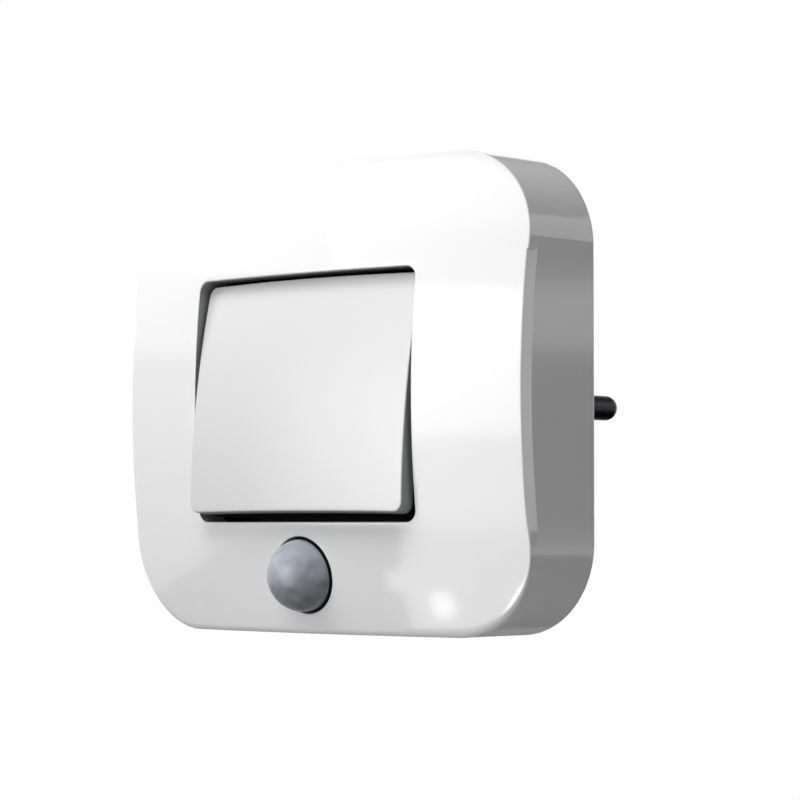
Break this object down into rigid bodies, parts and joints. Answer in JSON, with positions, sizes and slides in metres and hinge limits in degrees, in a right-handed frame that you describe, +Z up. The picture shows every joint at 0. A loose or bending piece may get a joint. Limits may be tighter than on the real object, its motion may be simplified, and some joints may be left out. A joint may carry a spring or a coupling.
{
  "type": "plug in night light",
  "caption": "Night light shaped like a wall light switch: a crowned glossy housing, a tilting opal rocker, a domed motion-sensor lens and a pinned mains plug on its back.",
  "frame": {"origin": "middle of the plug's end face, where the pins stand out", "axes": "+X to the right seen from the front, +Y into the wall along the pins, +Z up"},
  "size_m": [0.081, 0.0683, 0.0706],
  "materials": {
    "gloss_white": "polished moulded plastic",
    "satin_white": "fine spark texture",
    "opal_white": "satin opal",
    "dark_plated_pin": "dark plated brass",
    "black_plastic": "satin",
    "dark_grey_plastic": "satin",
    "contact_brass": "bare strip",
    "steel": "zinc plated",
    "milky_lens": "milky moulded polyethylene",
    "sensor_can": "nickel plated can",
    "circuit_board": "green solder mask",
    "white_board": "white solder mask",
    "led_yellow": "phosphor",
    "capacitor_yellow": "moulded box",
    "component_blue": "dipped lacquer"
  },
  "bodies": {
    "housing": {"front_cover": "gloss_white", "rear_cover": "satin_white", "plug_body": "satin_white", "pin_left": "dark_plated_pin", "pin_right": "dark_plated_pin", "pin_sleeves": "black_plastic", "contact_strip_left": "contact_brass", "contact_strip_right": "contact_brass", "pivot_pins": "steel", "switch_frame": "dark_grey_plastic", "detent_spring": "steel", "diffuser_plate": "opal_white", "micro_switch": "black_plastic", "sensor_lens": "milky_lens", "lens_retainer": "dark_grey_plastic", "sensor_spacer": "black_plastic", "motion_sensor": "sensor_can", "daylight_sensor": "black_plastic", "main_board": "circuit_board", "led_board": "white_board", "leds": "led_yellow", "board_header": "black_plastic", "film_capacitor": "capacitor_yellow", "round_capacitor": "black_plastic", "bridge_rectifier": "black_plastic", "varistor": "component_blue", "fuse_resistor": "component_blue", "controller_chip": "black_plastic", "chip_resistors": "black_plastic", "housing_screws": "steel", "board_screws": "steel", "plug_screws": "steel"},
    "rocker": {"rocker": "opal_white"},
    "plunger": {"switch_plunger": "black_plastic"}
  },
  "joints": [
    {"name": "rocker_tilt", "type": "hinge", "parent": "housing", "child": "rocker", "pos_m": [0, -0.0415, 0], "axis": [1, 0, 0], "range_deg": [0, 14.4]},
    {"name": "plunger_slide", "type": "slide", "parent": "housing", "child": "plunger", "axis": [0, 1, 0], "range_m": [0, 0.0018]}
  ],
  "couplings": [
    {"joint": "plunger_slide", "follows": "rocker_tilt", "m_per_rad": 0.0069816}
  ]
}
